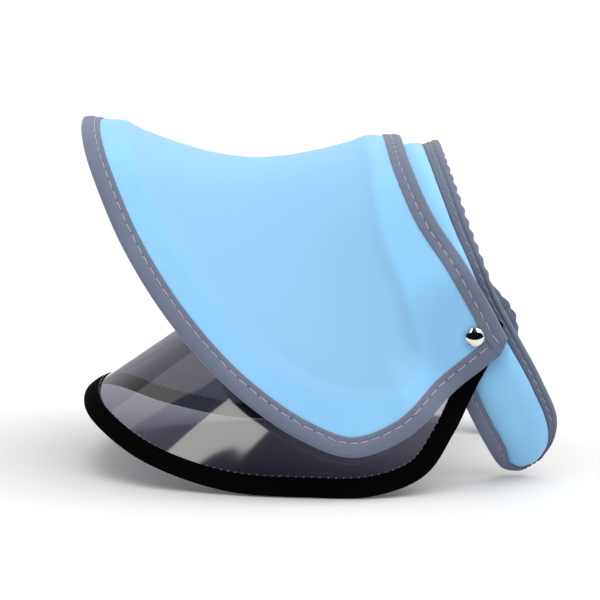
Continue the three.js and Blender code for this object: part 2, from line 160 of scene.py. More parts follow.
BRIM = Sheet(
    [(85, 100, 75), (84, 92, 90), (79, 79.5, 111), (67, 65.5, 132), (45, 56, 154), (0, 52.5, 167.5)],
    [(85.5, 96, 66), (95, 73, 48), (104, 50, 29), (111, 25, 21.5), (111, 0, 30), (106, -32, 52),
     (96, -61.5, 83), (80, -85.3, 117.7), (56, -103.3, 154.5), (29, -110.5, 171), (0, -112.5, 177.3)],
    85.9)
LENS = Sheet(
    [(80.5, 98.4, 81), (80, 90, 89.5), (77.5, 72, 95), (72.5, 47, 97.5), (61, 18, 100), (38, -5, 102),
     (0, -14, 101.5)],
    [(80.5, 98.5, 72), (81.5, 92, 61.5), (90.5, 74, 29), (99, 60, 10.5), (105, 36, 1.8), (104, 4, 0.8),
     (97, -37, 2.6), (82, -77.2, 14), (55, -104.1, 29), (0, -112.5, 35)],
    80.2)
BAND = Sheet(
    [(55.5, 121, 10.5), (57.5, 126, 19), (63, 127.5, 32), (70.5, 119, 52), (75.5, 105, 77.5),
     (75, 96.5, 93), (70.5, 90, 109), (61, 83.5, 127), (48, 78.5, 143), (27, 74, 158), (0, 72.3, 165.3)],
    [(54, 107.5, 1.6), (56.5, 100, 6.5), (63, 93, 17), (71.5, 81, 40), (75.4, 73.5, 57), (75.4, 67, 75),
     (71, 58, 96), (62, 50, 116), (49, 43, 134), (28, 38, 148.5), (0, 36, 154.5)],
    73.8)


# ---------------------------------------------------------------- meshes

axis_low, axis_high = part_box("rivet_back_left")
axis_y = (axis_low[1] + axis_high[1]) / 2
axis_z = (axis_low[2] + axis_high[2]) / 2


def to_row(points):
    """Working millimetres to metres in the row frame."""
    p = np.asarray(points, float).reshape(-1, 3)
    return (p - [0, PIVOT_Y, PIVOT_Z]) * MM + [0, axis_y, axis_z]


def make(name, points, faces, material, body, replaces=(), uv=None, second=None, marks=None,
         attribute=None):
    """A smooth mesh object that rides on a body. marks gives the faces that take the second material, uv a
    place on the cloth in millimetres for each point, and attribute (its name, a value for each point)."""
    mesh = bpy.data.meshes.new(name)
    mesh.from_pydata(to_row(points).tolist(), [], faces)
    mesh.materials.append(material)
    if second:
        mesh.materials.append(second)
        mesh.polygons.foreach_set("material_index", np.asarray(marks, np.int32))
    if uv is not None:
        corners = np.empty(len(mesh.loops), np.int32)
        mesh.loops.foreach_get("vertex_index", corners)
        layer = mesh.uv_layers.new(name="cloth")
        layer.data.foreach_set("uv", np.asarray(uv, np.float32)[corners].ravel())
    if attribute:
        values = mesh.attributes.new(attribute[0], "FLOAT", "POINT")
        values.data.foreach_set("value", np.asarray(attribute[1], np.float32).ravel())
    editable = bmesh.new()
    editable.from_mesh(mesh)
    loose = [v for v in editable.verts if not v.link_faces]
    bmesh.ops.delete(editable, geom=loose, context="VERTS")
    bmesh.ops.recalc_face_normals(editable, faces=editable.faces)
    editable.to_mesh(mesh)
    editable.free()
    mesh.polygons.foreach_set("use_smooth", [True] * len(mesh.polygons))
    obj = bpy.data.objects.new(name, mesh)
    bpy.context.collection.objects.link(obj)
    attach(obj, body)
    if replaces:
        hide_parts(*replaces)
    return obj


def soft_edges(obj, angle=50):
    obj.data.set_sharp_from_angle(angle=math.radians(angle))
    return obj


def ring_faces(rings, size, start=0):
    """Quads between rings of points, with a polygon on each end; start is the first point's number."""
    faces = []
    for i in range(rings - 1):
        for k in range(size):
            a, b = start + i * size + k, start + i * size + (k + 1) % size
            faces.append((a, a + size, b + size, b))
    faces.append(tuple(range(start, start + size)))
    faces.append(tuple(range(start + rings * size - 1, start + (rings - 1) * size - 1, -1)))
    return faces


def shell(tops, bottoms, is_open=None):
    """Points and faces of a closed sheet between two grids of points, with a window where cells are open."""
    rows, cols = tops.shape[:2]
    count = rows * cols
    filled = np.zeros((rows + 1, cols + 1), bool)
    filled[1:rows, 1:cols] = True if is_open is None else ~is_open
    faces = []
    for r, c in np.argwhere(filled[1:rows, 1:cols]).tolist():
        a, b = r * cols + c, (r + 1) * cols + c
        faces.append((a, b, b + 1, a + 1))
        faces.append((count + a, count + a + 1, count + b + 1, count + b))
        for p, q, neighbour in ((a, b, (r + 1, c)), (b + 1, a + 1, (r + 1, c + 2)),
                                (a + 1, a, (r, c + 1)), (b, b + 1, (r + 2, c + 1))):
            if not filled[neighbour]:
                faces.append((p, count + p, count + q, q))
    return np.vstack([tops.reshape(-1, 3), bottoms.reshape(-1, 3)]), faces


class Seam:
    """A path of (u, v) along a sheet's border, with tracks that run in from each of its stations."""

    REACH = 12
    FINE_STEPS = 6000
    NUDGE_U, NUDGE_V = 0.01, 0.1

    def __init__(self, sheet, path, step=1.0, square_ends=12.0):
        self.sheet = sheet
        path = np.asarray(path, float)
        fine = np.linspace(0, 1, self.FINE_STEPS)
        knots = np.linspace(0, 1, len(path))
        u, v = (np.interp(fine, knots, path[:, k]) for k in (0, 1))
        steps = np.linalg.norm(np.diff(sheet.point(u, v), axis=0), axis=1)
        run = np.concatenate([[0], np.cumsum(steps)])
        self.length = run[-1]
        self.count = int(self.length / step) + 1
        self.s = np.linspace(0, self.length, self.count)
        self.u = np.interp(self.s, run, u)
        self.v = np.interp(self.s, run, v)
        p = sheet.point(self.u, self.v)
        tangent = unit(np.gradient(p, axis=0))
        inward = unit(np.cross(sheet.normal(self.u, self.v), tangent))
        inner_u = self.u + self.NUDGE_U * np.sign(0.5 - self.u)
        inner_v = self.v + self.NUDGE_V * np.sign(0.5 - self.v)
        inside = sheet.point(inner_u, inner_v) - p
        inward *= np.sign(np.sum(inward * inside, -1, keepdims=True))
        if square_ends:
            ruling = unit(sheet.point(self.u, 1 - np.round(self.v)) - p)
            from_end = np.minimum(self.s, self.length - self.s)
            w = 1 - smoothstep(from_end, 0, square_ends)[:, None]
            inward = unit(inward * (1 - w) + ruling * w)
        u, v = self.u, self.v
        self.tracks = [(u, v)]
        for _ in range(self.REACH):
            pu, pv = sheet.slopes(u, v)
            uu, uv, vv = (np.sum(a * b, -1) for a, b in ((pu, pu), (pu, pv), (pv, pv)))
            a, b = np.sum(pu * inward, -1), np.sum(pv * inward, -1)
            det = uu * vv - uv ** 2
            u = u + (vv * a - uv * b) / det
            v = v + (uu * b - uv * a) / det
            self.tracks.append((u, v))
            normal = sheet.normal(u, v)
            inward = unit(inward - normal * np.sum(normal * inward, -1, keepdims=True))
        self.tracks = np.array(self.tracks)

    def spot(self, d):
        """(u, v) at insets d, one number or row per station."""
        d = np.asarray(d, float)
        if d.ndim < 2:
            d = np.broadcast_to(d.reshape(-1, 1), (self.count, 1))
        low = np.clip(np.floor(d).astype(int), 0, self.REACH - 1)
        share = d - low
        rows = np.arange(self.count)[:, None]
        near, far = (self.tracks[i, :, rows] for i in (low, low + 1))
        return [near[..., k] * (1 - share) + far[..., k] * share for k in (0, 1)]

    def place(self, d, h):
        """Points at insets d and heights h, as (stations, profile points, 3)."""
        u, v = self.spot(d)
        h = np.asarray(h, float)
        if h.ndim < 2:
            h = h.reshape(-1, 1)
        return self.sheet.at(u, v, np.broadcast_to(h, u.shape))


def tape_profile(width, face, wall, stitch_at, groove, dip):
    """(inset, height, weight of the pucker) round a folded tape's cross-section: it swells between its fold
    and its stitches, is pulled in by a groove along them, and dips by dip at its inner border."""
    fold = TAPE_FOLD
    top = [(width, face - wall * 0.55), (width - 0.12, face - 0.12)]
    for d in np.linspace(width - 0.45, fold, 13):
        top.append((d, face))
    bend = [(fold - fold * math.cos(a), face * math.sin(a)) for a in np.linspace(1.2, -1.2, 7)]
    outer = [*top, *bend, *[(d, -h) for d, h in reversed(top)]]
    inner = [(width, wall - face), (1.1, wall - face), (1.1, face - wall), (width, face - wall)]
    out = []
    for d, h in outer:
        sink = groove * math.exp(-((d - stitch_at) / GROOVE_REACH) ** 2)
        outer_share = min(1, max(0, (d - fold) / (stitch_at - fold)))
        inner_share = min(1, max(0, (d - stitch_at) / (width - stitch_at)))
        swell = TAPE_SWELL * math.sin(math.pi * outer_share)
        border = dip * inner_share ** 1.5
        scale = 1 - (sink + border - swell) / face
        pucker = math.exp(-((d - stitch_at) / PUCKER_REACH) ** 2)
        out.append((d, h * scale, pucker * np.sign(h)))
    return np.array(out + [(d, h, 0) for d, h in inner])


def tape(name, seam, body, material, replaces, face, width=TAPE_WIDTH, wall=TAPE_WALL, stitch_at=6.1,
         groove=0.35, pucker=0.1, pitch=6.2, dip=0.15, widths=None, lift=None, ruffle=None):
    """A binding folded over a sheet's edge. Along the seam widths scales it, lift raises it and ruffle pushes
    its fold out and in."""
    profile = tape_profile(width, face, wall, stitch_at, groove, dip)
    wave = np.cos(2 * np.pi * seam.s / pitch)[:, None]
    d = np.repeat(profile[None, :, 0], seam.count, 0)
    h = profile[None, :, 1] + pucker * wave * profile[None, :, 2]
    if widths is not None:
        d = d * widths[:, None]
    if ruffle is not None:
        d = d - ruffle[:, None] * np.clip(1 - d / 3.5, 0, 1)
    if lift is not None:
        h = h + lift[:, None] * np.sign(profile[None, :, 1])
    points = seam.place(d, h)
    steps = np.linalg.norm(np.diff(profile[:, :2], axis=0), axis=1)
    across = np.concatenate([[0], np.cumsum(steps)])
    uv = np.stack(np.broadcast_arrays(seam.s[:, None], across[None]), -1).reshape(-1, 2)
    faces = ring_faces(seam.count, len(profile))
    obj = soft_edges(make(name, points, faces, material, body, replaces, uv=uv))
    return obj


def stitches(name, seam, body, thread, inset, height, pitch=5.7, length=4.5, radius=0.22,
             slant=0.0, hole=None, start=2.0):
    """A running stitch on both faces of a seam, from start mm in: short threads that dive into the cloth at
    both ends, each with a needle hole of the material hole behind it."""
    low, high = start, seam.length - start
    count = int((high - low) / pitch)
    centres = low + (np.arange(count) + 0.5) * (high - low) / count
    q = np.array([-1, -0.86, -0.5, 0, 0.5, 0.86, 1])
    ring = np.linspace(0, 2 * np.pi, THREAD_SIDES, endpoint=False)
    points, faces, marks = [], [], []
    for side in (1, -1):
        line = seam.place(inset, np.asarray(height) * side)[:, 0]
        normal = unit(seam.place(inset, (np.asarray(height) + 1) * side)[:, 0] - line)
        wobble = rng.normal(0, 0.05, count)
        for k, centre in enumerate(centres):
            s = centre + wobble[k] + q * length / 2
            p, n = (np.stack([np.interp(s, seam.s, a[:, j]) for j in range(3)], -1) for a in (line, normal))
            along = unit(p[-1] - p[0])[None]
            across = np.cross(n, along)
            turn = slant + rng.normal(0, 0.04)
            p = p + across * (q * length / 2 * math.sin(turn))[:, None]
            rise = radius * (0.75 - 2.2 * np.abs(q) ** 5)
            thick = radius * (1 - 0.35 * np.abs(q) ** 4)
            tube = (p + n * rise[:, None])[:, None] + thick[:, None, None] * (
                n[:, None] * np.sin(ring)[None, :, None] + across[:, None] * np.cos(ring)[None, :, None])
            base = sum(len(x) for x in points)
            new = ring_faces(len(q), len(ring), start=base)
            points.append(tube.reshape(-1, 3))
            faces += new
            marks += [0] * len(new)
            if hole is not None:
                base += tube.size // 3
                spot = p[-1] + along[0] * 0.3 + n[-1] * 0.03
                around = along * np.cos(ring)[:, None] + across[-1] * np.sin(ring)[:, None]
                disc = spot + HOLE_RADIUS * around
                points.append(disc)
                faces.append(tuple(range(base, base + len(ring))))
                marks.append(1)
    obj = make(name, np.vstack(points), faces, thread, body, second=hole, marks=marks if hole else None)
    return obj


def turned(name, profile, material, body, replaces, side):
    """A lathed piece about the rivets' axis; profile is (radius, x) from its inner face to its outer."""
    points = []
    for r, x in profile:
        for a in np.linspace(0, 2 * np.pi, LATHE_SIDES, endpoint=False):
            points.append((side * x, PIVOT_Y + side * r * math.cos(a), PIVOT_Z + r * math.sin(a)))
    faces = ring_faces(len(profile), LATHE_SIDES)
    return soft_edges(make(name, points, faces, material, body, replaces), 35)


def cloth(name, sheet, us, vs, top, bottom, material, body, replaces=(), attribute=None, is_open=None):
    """A closed layer over a grid of stations us and columns vs (stations, columns), between two heights."""
    u, v = np.broadcast_arrays(us[:, None], vs)
    top, bottom = np.broadcast_to(top, u.shape), np.broadcast_to(bottom, u.shape)
    points, faces = shell(sheet.at(u, v, top), sheet.at(u, v, bottom), is_open)
    middle = sheet.point(us, np.full_like(us, 0.5))
    run = np.concatenate([[0], np.cumsum(np.linalg.norm(np.diff(middle, axis=0), axis=1))])
    across = v * np.linalg.norm(sheet.point(us, 1.0) - sheet.point(us, 0.0), axis=-1)[:, None]
    uv = np.stack(np.broadcast_arrays(run[:, None], across), -1).reshape(-1, 2)
    if attribute:
        attribute = (attribute[0], np.tile(attribute[1].ravel(), 2))
    return make(name, points, faces, material, body, replaces, uv=np.vstack([uv, uv]),
                attribute=attribute)


def columns(low, high, count):
    return low[:, None] + (high - low)[:, None] * np.linspace(0, 1, count)[None]


# ---------------------------------------------------------------- materials

class Shader:
    def __init__(self, name):
        self.material = bpy.data.materials.new(name)
        self.material.use_nodes = True
        self.tree = self.material.node_tree
        self.tree.nodes.clear()
        self.out = self.tree.nodes.new("ShaderNodeOutputMaterial")

    def node(self, kind, inputs=None, **settings):
        made = self.tree.nodes.new("ShaderNode" + kind)
        for key, value in settings.items():
            setattr(made, key, value)
        for key, value in (inputs or {}).items():
            if isinstance(value, bpy.types.NodeSocket):
                self.tree.links.new(value, made.inputs[key])
            else:
                made.inputs[key].default_value = value
        return made

    def finish(self, surface):
        self.tree.links.new(surface, self.out.inputs["Surface"])
        return self.material

    def maths(self, operation, a, b):
        return self.node("Math", {0: a, 1: b}, operation=operation).outputs[0]

    def ramp(self, value, low, high):
        fitted = self.node("MapRange", {"Value": value, "To Min": low, "To Max": high})
        return fitted.outputs["Result"]

    def noise(self, vector, scale, detail=2.0):
        made = self.node("TexNoise", {"Vector": vector, "Scale": scale, "Detail": detail})
        return made.outputs["Fac"]

    def mixed(self, share, a, b, blend="MIX"):
        made = self.node("Mix", {0: share, 6: a, 7: b}, data_type="RGBA", blend_type=blend)
        return made.outputs[2]


def srgb(r, g, b):
    linear = [(c / 255 / 12.92) if c < 10.3 else ((c / 255 + 0.055) / 1.055) ** 2.4 for c in (r, g, b)]
    return (*linear, 1)


BANDS_AT_1_MM = 0.314    # the wave texture's scale that repeats every millimetre


def woven(name, colour, shade, pitch, slant=0.0, weave=0.25, sheen=0.3, shade_tint=None, bump=0.12, roughness=0.85,
          shine=0.25):
    """Cloth whose two thread directions cross at a pitch in millimetres. The colour given as the shade tint
    is mixed in by the mesh's window shade attribute, inside the stiffener's window where nothing stiff lies
    behind the cloth: painted shade, a darker colour standing in for the shade of the fabric that dips there."""
    s = Shader(name)
    uv = s.node("UVMap", uv_map="cloth").outputs["UV"]
    turned_uv = s.node("Mapping", {"Vector": uv, "Rotation": (0, 0, slant)}).outputs["Vector"]
    wave = BANDS_AT_1_MM / pitch
    ribs = s.node("TexWave", {"Vector": turned_uv, "Scale": wave, "Distortion": 0.6, "Detail": 1.0},
                  bands_direction="X").outputs["Fac"]
    rows = s.node("TexWave", {"Vector": turned_uv, "Scale": wave * 0.8, "Distortion": 0.6, "Detail": 1.0},
                  bands_direction="Y").outputs["Fac"]
    threads = s.maths("MULTIPLY", ribs, rows)
    fuzz = s.noise(uv, 1.6, 4.0)
    patches = s.noise(uv, 0.035, 3.0)
    base = s.mixed(s.ramp(patches, 0, 1), shade, colour)
    if shade_tint:
        window_shade = s.node("Attribute", attribute_name="window_shade").outputs["Fac"]
        base = s.mixed(window_shade, base, shade_tint)
    dark = s.mixed(s.ramp(threads, weave, 0), base, shade, "MULTIPLY")
    height = s.maths("ADD", threads, s.maths("MULTIPLY", fuzz, 0.8))
    relief = s.node("Bump", {"Height": height, "Strength": bump, "Distance": 0.0004}).outputs["Normal"]
    shader = s.node("BsdfPrincipled", {
        "Base Color": dark, "Roughness": roughness, "Normal": relief, "Specular IOR Level": shine,
        "Sheen Weight": sheen, "Sheen Roughness": 0.5, "Sheen Tint": (1, 1, 1, 1)})
    return s.finish(shader.outputs[0])


def thread(name, colour, shade):
    s = Shader(name)
    place = s.node("TexCoord").outputs["Object"]
    twist = s.noise(place, 900.0, 2.0)
    base = s.mixed(twist, shade, colour)
    relief = s.node("Bump", {"Height": twist, "Strength": 0.3, "Distance": 0.0002}).outputs["Normal"]
    shader = s.node("BsdfPrincipled", {
        "Base Color": base, "Roughness": 0.6, "Normal": relief, "Sheen Weight": 0.2})
    return s.finish(shader.outputs[0])


def plastic(name, colour, shade, roughness, scale, bump):
    """Board, sponge and nylon: a mottled colour with grain at a scale in cycles per metre."""
    s = Shader(name)
    place = s.node("TexCoord").outputs["Object"]
    grain = s.noise(place, scale, 4.0)
    relief = s.node("Bump", {"Height": grain, "Strength": bump, "Distance": 0.0005}).outputs["Normal"]
    shader = s.node("BsdfPrincipled", {
        "Base Color": s.mixed(grain, shade, colour), "Roughness": roughness, "Normal": relief})
    return s.finish(shader.outputs[0])


def metal(name):
    s = Shader(name)
    place = s.node("TexCoord").outputs["Object"]
    wear = s.noise(place, 700.0, 3.0)
    shader = s.node("BsdfPrincipled", {
        "Base Color": s.mixed(wear, srgb(228, 216, 198), srgb(244, 238, 226)), "Metallic": 1.0,
        "Roughness": s.ramp(wear, 0.04, 0.12)})
    return s.finish(shader.outputs[0])


TINT_LOW, TINT_HIGH = 0.012, 0.046


def film(name):
    """A smoked film: a see-through tint that pales from the height TINT_LOW to TINT_HIGH, in metres at rest,
    under a mirror whose strength grows towards its outline. The tint's darkening towards the bottom is
    painted shade, standing in for the dark, shaded floor seen through the lens."""
    s = Shader(name)
    place = s.node("TexCoord").outputs["Object"]
    haze = s.noise(place, 25.0, 3.0)
    # Painted shade: the tint grows darker towards the bottom of the lens.
    height = s.node("SeparateXYZ", {"Vector": place}).outputs["Z"]
    grade = s.node("MapRange", {"Value": height, "From Min": TINT_LOW, "From Max": TINT_HIGH})
    painted_shade_grade = s.mixed(grade.outputs["Result"], (0.085, 0.085, 0.13, 1), (0.25, 0.245, 0.30, 1))
    shade_tint = s.mixed(s.ramp(haze, 0, 0.35), painted_shade_grade, (0.2, 0.19, 0.235, 1))
    clear = s.node("BsdfTransparent", {"Color": shade_tint})
    mirror = s.node("BsdfGlossy", {"Color": (1, 1, 1, 1), "Roughness": s.ramp(haze, 0.03, 0.09)})
    facing = s.node("LayerWeight", {"Blend": 0.5}).outputs["Facing"]
    edge = s.ramp(s.maths("POWER", facing, 4.5), 0.09, 0.95)
    mixed = s.node("MixShader", {0: edge, 1: clear.outputs[0], 2: mirror.outputs[0]})
    return s.finish(mixed.outputs[0])


# The blue knit's second, darker colour is painted shade inside the brim's window.
BLUE = woven("blue_knit", srgb(142, 199, 236), srgb(133, 189, 227), 0.55, slant=0.4, weave=0.12, sheen=0.25,
             shade_tint=srgb(138, 187, 221), bump=0.1)
# The pad's knit is the brim's blue painted lighter: painted light, standing in for the light the puffed pad
# catches.
LIT_PAD_BLUE = woven("pad_knit_painted_lighter", srgb(147, 205, 242), srgb(137, 196, 234), 0.55, slant=0.4, weave=0.12, bump=0.1)
GREY = woven("grey_twill", srgb(118, 125, 146), srgb(104, 112, 134), 0.5, slant=0.8, weave=0.3, bump=0.18)
BLACK = woven("black_twill", srgb(7, 7, 9), srgb(3, 3, 5), 0.6, slant=0.8, weave=0.5, sheen=0.0, bump=0.3,
              shine=0.03)
LINING = woven("dark_lining", srgb(34, 36, 44), srgb(24, 25, 32), 0.6, weave=0.4, sheen=0.1)
CREAM = thread("cream_thread", srgb(198, 194, 194), srgb(158, 155, 160))
DIM = thread("grey_thread", srgb(176, 178, 190), srgb(120, 122, 136))
PALE = thread("pale_thread", srgb(200, 200, 204), srgb(150, 150, 156))
SHADOW = thread("needle_holes", srgb(36, 36, 48), srgb(22, 22, 32))
# Painted shadow: a dark colour for the cord that stands in for the shadow where the pad meets the rear tape.
SEAM_SHADOW = thread("painted_seam_shadow", srgb(38, 66, 110), srgb(24, 44, 84))
FILM = film("smoked_film")
NICKEL = metal("polished_nickel")
BOARD = plastic("board", srgb(236, 238, 240), srgb(222, 226, 230), 0.5, 60.0, 0.1)
SPONGE = plastic("sponge", srgb(244, 241, 230), srgb(222, 216, 198), 0.95, 1200.0, 0.6)
SPRING = plastic("spring_plastic", srgb(222, 226, 230), srgb(206, 212, 218), 0.4, 80.0, 0.08)
NYLON = plastic("nylon", srgb(242, 243, 243), srgb(228, 230, 232), 0.45, 150.0, 0.08)

for node_name, finish in (
        ("inner_spacer_left", NYLON), ("inner_spacer_right", NYLON), ("outer_spacer_left", NYLON),
        ("outer_spacer_right", NYLON)):
    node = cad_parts[node_name]
    node.data.materials.clear()
    node.data.materials.append(finish)


# ---------------------------------------------------------------- the brim

WINDOW_END, WINDOW_ROUNDING, WINDOW_END_HEIGHT = 0.115, 0.1, 0.35
WINDOW_SAG = 14.0
WINDOW_STEP, WINDOW_LIP = 0.9, (1.5, 9.0)
HEAD_MARGIN_AT_END, HEAD_MARGIN_AT_CREST, RIM_MARGIN = 22, 8, 12
MARGIN_REACH = 0.42
BRIM_RUN = 420    # the window's ends are measured along a line of about this length
CUT_BEFORE_WINDOW = 2.5
BRIM_ROWS, BRIM_COLUMNS = 280, 76
BRIM_TAPE_FACE = 2.15
SEAM_RISE = 0.75    # how far the head tape climbs over the rim tape where they cross at an ear
RIPPLE = 0.3
STITCH_SINK = 0.3


def window_sides(u):
    """The v of the two sides of the stiffener's window, and how far u is inside the window's end, in mm."""
    from_end = np.minimum(u, 1 - u)
    near_crest = smoothstep(from_end, WINDOW_END, MARGIN_REACH)
    margin = HEAD_MARGIN_AT_END + (HEAD_MARGIN_AT_CREST - HEAD_MARGIN_AT_END) * near_crest
    head = BRIM.inset(u, 0, TAPE_WIDTH + margin)
    rim = BRIM.inset(u, 1, TAPE_WIDTH + RIM_MARGIN)
    run = np.clip((from_end - WINDOW_END) / WINDOW_ROUNDING, 0, 1)
    opened = WINDOW_END_HEIGHT + (1 - WINDOW_END_HEIGHT) * np.sqrt(1 - (1 - run) ** 2)
    middle = (head + rim) / 2
    low, high = BRIM.border(u, 0), BRIM.border(u, 1)
    span = high - low
    head = np.clip(middle + (head - middle) * opened, low + 0.05 * span, low + 0.45 * span)
    rim = np.clip(middle + (rim - middle) * opened, low + 0.55 * span, low + 0.95 * span)
    return head, rim, (from_end - WINDOW_END) * BRIM_RUN


def brim_sag(u, v):
    """How far the fabric dips into the stiffener's window, and how far inside it a point lies, in mm."""
    head, rim, past_end = window_sides(u)
    across = np.clip((v - head) / (rim - head), 0, 1)
    growth = np.clip((np.minimum(u, 1 - u) - WINDOW_END) / (0.5 - WINDOW_END), 0, 1)
    deep = WINDOW_SAG * np.sin(np.pi / 2 * growth) ** 1.6 * np.sin(np.pi * across)
    width = np.linalg.norm(BRIM.point(u, 1.0) - BRIM.point(u, 0.0), axis=-1)
    inside = np.minimum(np.minimum(v - head, rim - v) * width, past_end)
    return deep + WINDOW_STEP * smoothstep(inside, *WINDOW_LIP), inside


us = np.linspace(0.002, 0.998, BRIM_ROWS)
vs = columns(BRIM.inset(us, 0, EDGE_INSET), BRIM.inset(us, 1, EDGE_INSET), BRIM_COLUMNS)
u_grid, v_grid = np.broadcast_arrays(us[:, None], vs)
sag, inside_window = brim_sag(u_grid, v_grid)
waves = np.sin(23 * u_grid + 5 * v_grid) * np.sin(9 * v_grid + 4)
sag = sag + RIPPLE * waves * smoothstep(inside_window, 2, 20)
# Painted shade: a mask that darkens the blue knit inside the stiffener's window, standing in for the shade of
# the dipped fabric.
window_shade = smoothstep(inside_window, -1.0, 3.5)
brim_cover = cloth("brim_fabric", BRIM, us, vs, BRIM_FACE - sag, BRIM_FACE - FABRIC - sag, BLUE, "brim",
                   ["brim_cover"], ("window_shade", window_shade))
brim_lining = cloth("brim_underside", BRIM, us, vs, FABRIC - BRIM_FACE - sag, -BRIM_FACE - sag, LINING,
                    "brim", ["brim_lining"])

BOARD_ROWS, BOARD_COLUMNS = 280, 26
board_us = np.linspace(0.004, 0.996, BOARD_ROWS)
head_side, rim_side, past_end = window_sides(board_us)
board_vs = np.hstack([columns(BRIM.inset(board_us, 0, EDGE_INSET), head_side, BOARD_COLUMNS),
                      columns(rim_side, BRIM.inset(board_us, 1, EDGE_INSET), BOARD_COLUMNS)])
cut_out = np.zeros((BOARD_ROWS - 1, 2 * BOARD_COLUMNS - 1), bool)
cut_out[:, BOARD_COLUMNS - 1] = np.minimum(past_end[1:], past_end[:-1]) > -CUT_BEFORE_WINDOW
cloth("brim_board", BRIM, board_us, board_vs, BOARD_FACE, -BOARD_FACE, BOARD, "brim",
      ["brim_stiffener"], is_open=cut_out)

rim_seam = Seam(BRIM, [(0, 1), (1, 1)], square_ends=0)
head_seam = Seam(BRIM, [(0, 0), (1, 0)])
CROSSING = (11, 19)    # how far from the head seam's ends, in mm, the tapes stop crossing
ends_up = SEAM_RISE * (1 - smoothstep(np.minimum(head_seam.s, head_seam.length - head_seam.s), *CROSSING))
RIM_STITCH_AT, HEAD_STITCH_AT = 6.6, 5.6
tape("brim_rim_tape", rim_seam, "brim", GREY, ["brim_rim_binding"], BRIM_TAPE_FACE,
     stitch_at=RIM_STITCH_AT)
tape("brim_head_tape", head_seam, "brim", GREY, ["brim_head_binding"], BRIM_TAPE_FACE,
     stitch_at=HEAD_STITCH_AT, lift=ends_up)
stitches("brim_rim_stitches", rim_seam, "brim", CREAM, RIM_STITCH_AT,
         BRIM_TAPE_FACE - STITCH_SINK, hole=SHADOW, pitch=6.5, length=5.4)
stitches("brim_head_stitches", head_seam, "brim", CREAM, HEAD_STITCH_AT,
         BRIM_TAPE_FACE - STITCH_SINK + ends_up, hole=SHADOW)

# ---------------------------------------------------------------- the lens

LENS_TAPE_FACE, LENS_TAPE_WALL = 1.25, 0.55
LENS_ROWS, LENS_COLUMNS = 240, 30
TICK_PITCH = 3.9

us = np.linspace(0.002, 0.998, LENS_ROWS)
vs = columns(LENS.inset(us, 0, EDGE_INSET), LENS.inset(us, 1, EDGE_INSET), LENS_COLUMNS)
grid = np.arange(vs.size).reshape(vs.shape)
quads = np.stack([grid[:-1, :-1], grid[1:, :-1], grid[1:, 1:], grid[:-1, 1:]], -1).reshape(-1, 4)
make("smoked_lens", LENS.point(*np.broadcast_arrays(us[:, None], vs)), quads.tolist(), FILM, "lens",
     ["lens_film"])
lens_rim = Seam(LENS, [(0.008, 1), (0.992, 1)])
lens_head = Seam(LENS, [(0, 0), (1, 0)])
for name, seam, node in (("lens_rim_tape", lens_rim, "lens_rim_binding"),
                         ("lens_head_tape", lens_head, "lens_head_binding")):
    tape(name, seam, "lens", BLACK, [node], LENS_TAPE_FACE, wall=LENS_TAPE_WALL, stitch_at=8.2,
         groove=0.12, pucker=0.05, pitch=TICK_PITCH)
    stitches(name.replace("tape", "stitches"), seam, "lens", PALE, TAPE_WIDTH,
             LENS_TAPE_FACE - LENS_TAPE_WALL, pitch=TICK_PITCH, length=1.3, radius=0.16, slant=1.1)

# ---------------------------------------------------------------- the head band

BAND_FACE = 1.3
BAND_TAPE_FACE = 2.15
BAND_PUFF, PUFF_ROUNDING = 3.2, 9.5
FLAT_R, PUFFED_R = 10, 24    # the padding is pressed flat within FLAT_R of the rivets' axis
CORNER_U, CORNER_V = 0.020, 0.38
FRONT_STITCH_AT, REAR_GROOVE_AT, REAR_STITCH_AT = 6.2, 4.6, 5.9
RUFFLE, RUFFLE_PITCH = 0.5, 7.2

turn = np.linspace(0, np.pi / 2, 12)
half_path = [(0.0, v) for v in np.linspace(0.40, 1 - CORNER_V, 4)]
half_path += [(CORNER_U * (1 - math.cos(t)), 1 - CORNER_V * (1 - math.sin(t))) for t in turn[1:]]
half_path += [(u, 1.0) for u in np.linspace(0.03, 0.5, 80)]
front_seam = Seam(BAND, half_path + [(1 - u, v) for u, v in half_path[-2::-1]], square_ends=0)
rear_seam = Seam(BAND, [(0.0, 0), (1.0, 0)], square_ends=0)
end_seams = [Seam(BAND, [(u, 0.0), (u, 0.6)], step=0.4, square_ends=0) for u in (0.0, 1.0)]

# Each tape's share of its full width along its seam, narrow at the band's ends.
from_end = np.minimum(front_seam.s, front_seam.length - front_seam.s)
front_widths = 0.05 + 0.83 * smoothstep(from_end, -4, 30)
from_end = np.minimum(rear_seam.s, rear_seam.length - rear_seam.s)
rear_widths = 0.05 + 0.57 * smoothstep(from_end, -4, 30) + 0.26 * smoothstep(from_end, 85, 165)
ruffle = RUFFLE * np.cos(2 * np.pi * rear_seam.s / RUFFLE_PITCH) * smoothstep(from_end, 80, 120)

tape("band_front_tape", front_seam, "band", GREY, ["band_front_binding"], BAND_TAPE_FACE,
     widths=front_widths, stitch_at=FRONT_STITCH_AT, dip=0.5)
tape("band_rear_tape", rear_seam, "band", GREY, ["band_rear_binding"], BAND_TAPE_FACE,
     widths=rear_widths, ruffle=ruffle, stitch_at=REAR_GROOVE_AT, groove=0.45, dip=0.3)
stitches("band_front_stitches", front_seam, "band", DIM, FRONT_STITCH_AT * front_widths,
         BAND_TAPE_FACE - STITCH_SINK, hole=SHADOW, start=20)
stitches("band_rear_stitches", rear_seam, "band", DIM, REAR_STITCH_AT * rear_widths,
         BAND_TAPE_FACE - STITCH_SINK / 2, hole=SHADOW, slant=0.3, start=24, length=4.0)

